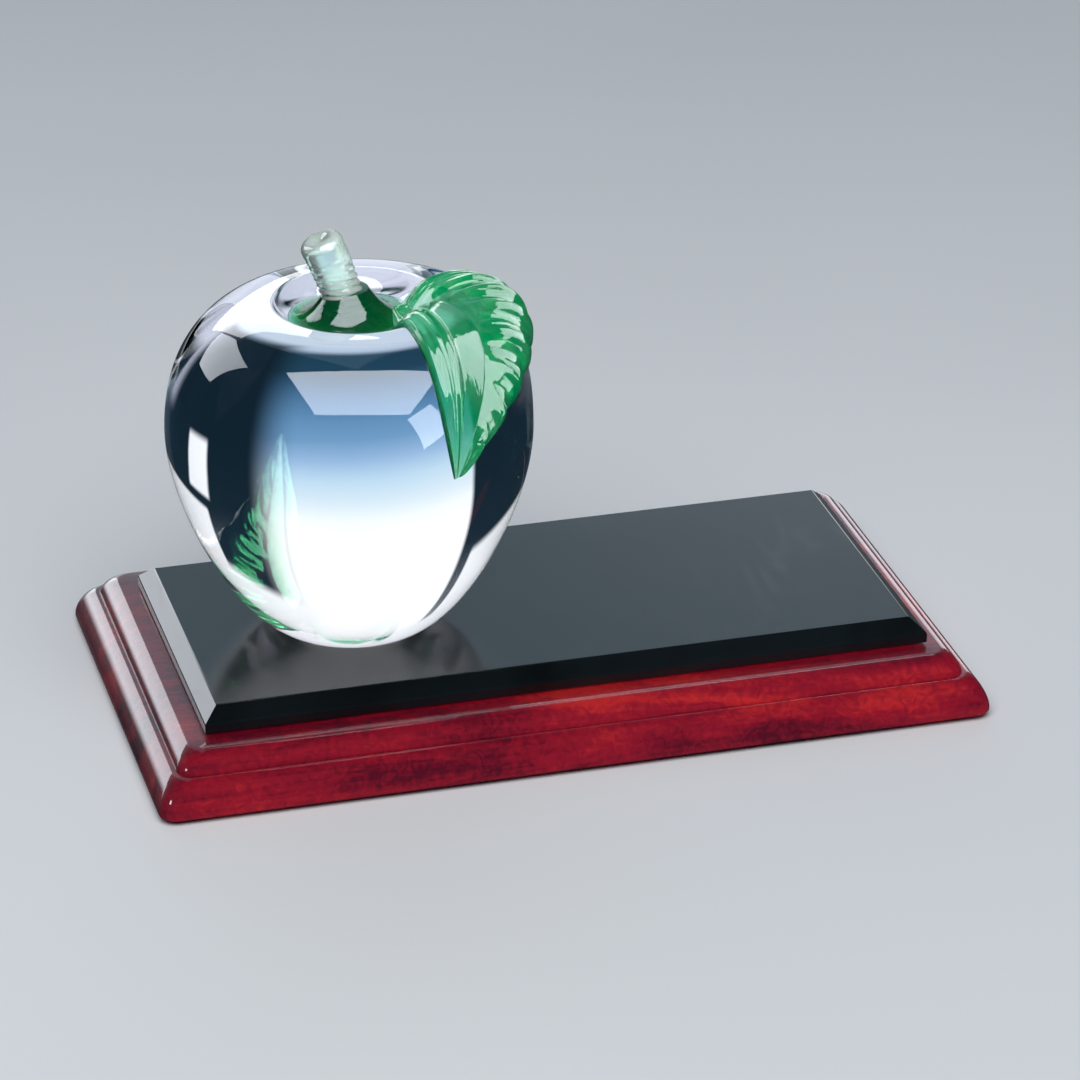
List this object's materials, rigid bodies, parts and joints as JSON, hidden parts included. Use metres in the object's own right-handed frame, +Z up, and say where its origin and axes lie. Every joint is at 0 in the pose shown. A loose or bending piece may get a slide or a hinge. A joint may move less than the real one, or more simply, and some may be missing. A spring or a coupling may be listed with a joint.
{
  "type": "paperweight",
  "caption": "Clear crystal apple with a green glass stem and leaf, bonded to a bevelled black glass slab on a moulded, lacquered wooden plinth with a felt pad.",
  "frame": {"origin": "on the surface it stands on, under the middle of the felt pad", "axes": "+Z up; +X along the plinth's length, from the apple's end towards the bare end of the slab; +Y across the plinth's width, away from the viewer"},
  "size_m": [0.1778, 0.0994, 0.1059],
  "materials": {
    "felt": "napped felt",
    "lacquered_wood": "stained red, high-gloss lacquer",
    "tape": "foam tape",
    "black_glass": "polished, bevelled",
    "adhesive": "cured clear adhesive",
    "crystal": "polished clear crystal",
    "green_glass": "fire-polished green glass"
  },
  "bodies": {
    "root": {"felt_pad": "felt", "plinth": "lacquered_wood", "slab_tape_front": "tape", "slab_tape_rear": "tape", "glass_slab": "black_glass", "apple_bond": "adhesive", "apple": "crystal", "stem": "green_glass", "leaf": "green_glass"}
  },
  "joints": []
}
